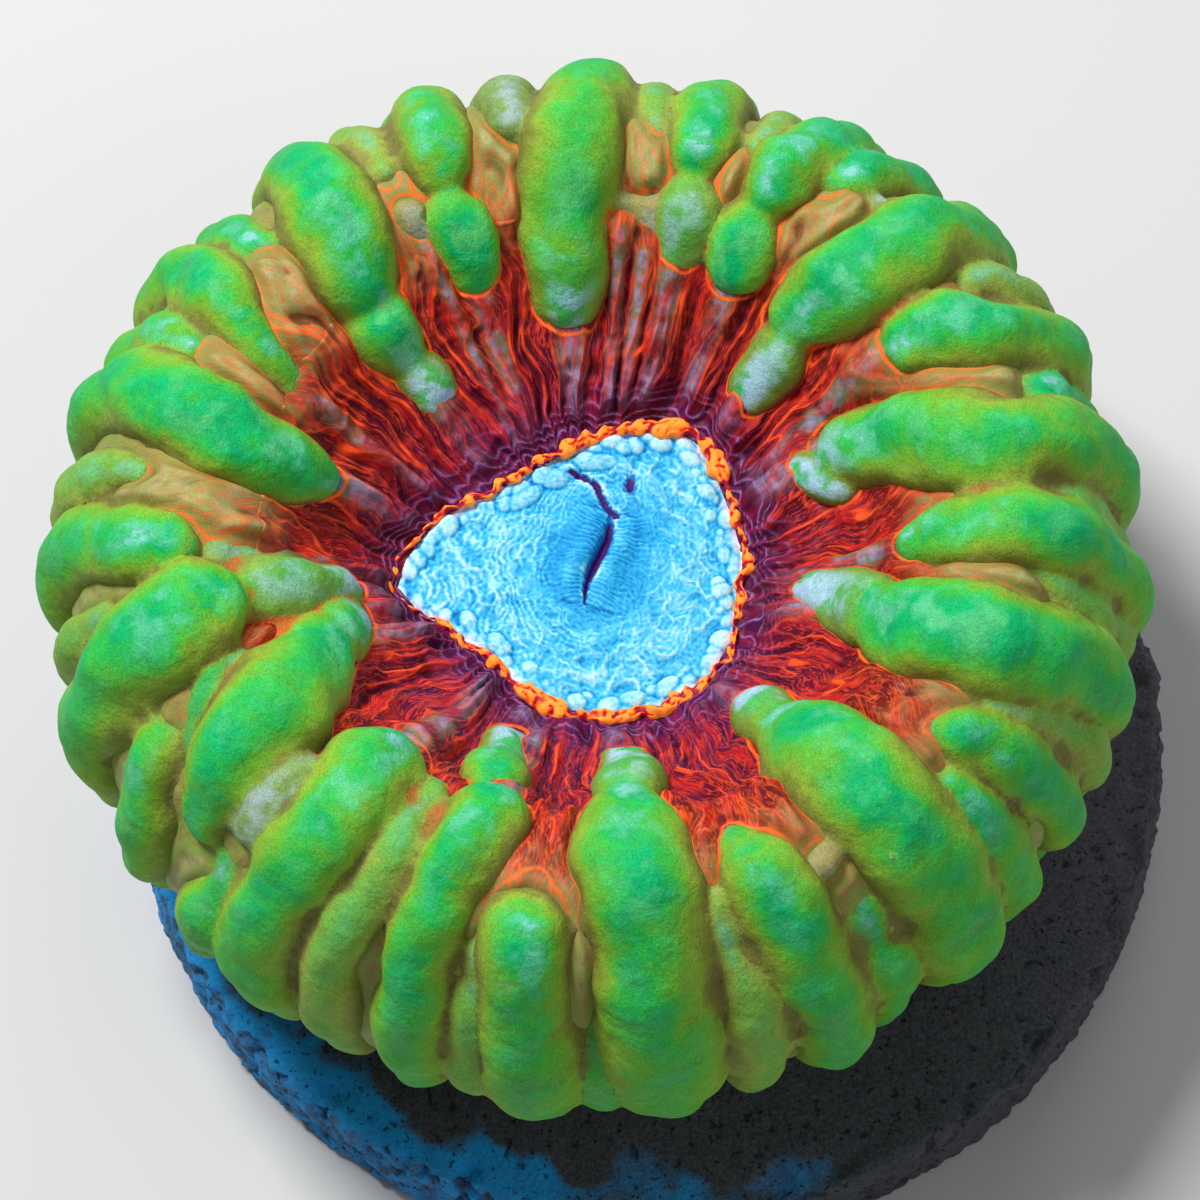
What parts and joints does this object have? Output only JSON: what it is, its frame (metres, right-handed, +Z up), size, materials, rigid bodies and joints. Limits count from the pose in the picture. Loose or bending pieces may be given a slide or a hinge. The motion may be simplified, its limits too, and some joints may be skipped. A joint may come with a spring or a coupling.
{
  "type": "cynarina coral on a frag disc",
  "caption": "Fleshy round polyp with a ring of swollen lobes round a sunken oral disc, grown on a flat round cement disc that it stands on.",
  "frame": {"origin": "centre of the cement disc's flat underside", "axes": "+Z up out of the disc through the polyp, +X and +Y in the plane of the disc, the polyp's long tip of the oral disc towards -X"},
  "size_m": [0.0803, 0.0797, 0.0426],
  "materials": {
    "coral_flesh": "wet living flesh: green to teal lobes, orange-edged red folds on the inner slope, pale blue oral disc",
    "disc_cement": "rough dark grey cement with fine pores and a broken rim"
  },
  "bodies": {
    "root": {"coral": "coral_flesh", "frag_disc": "disc_cement"}
  },
  "joints": []
}
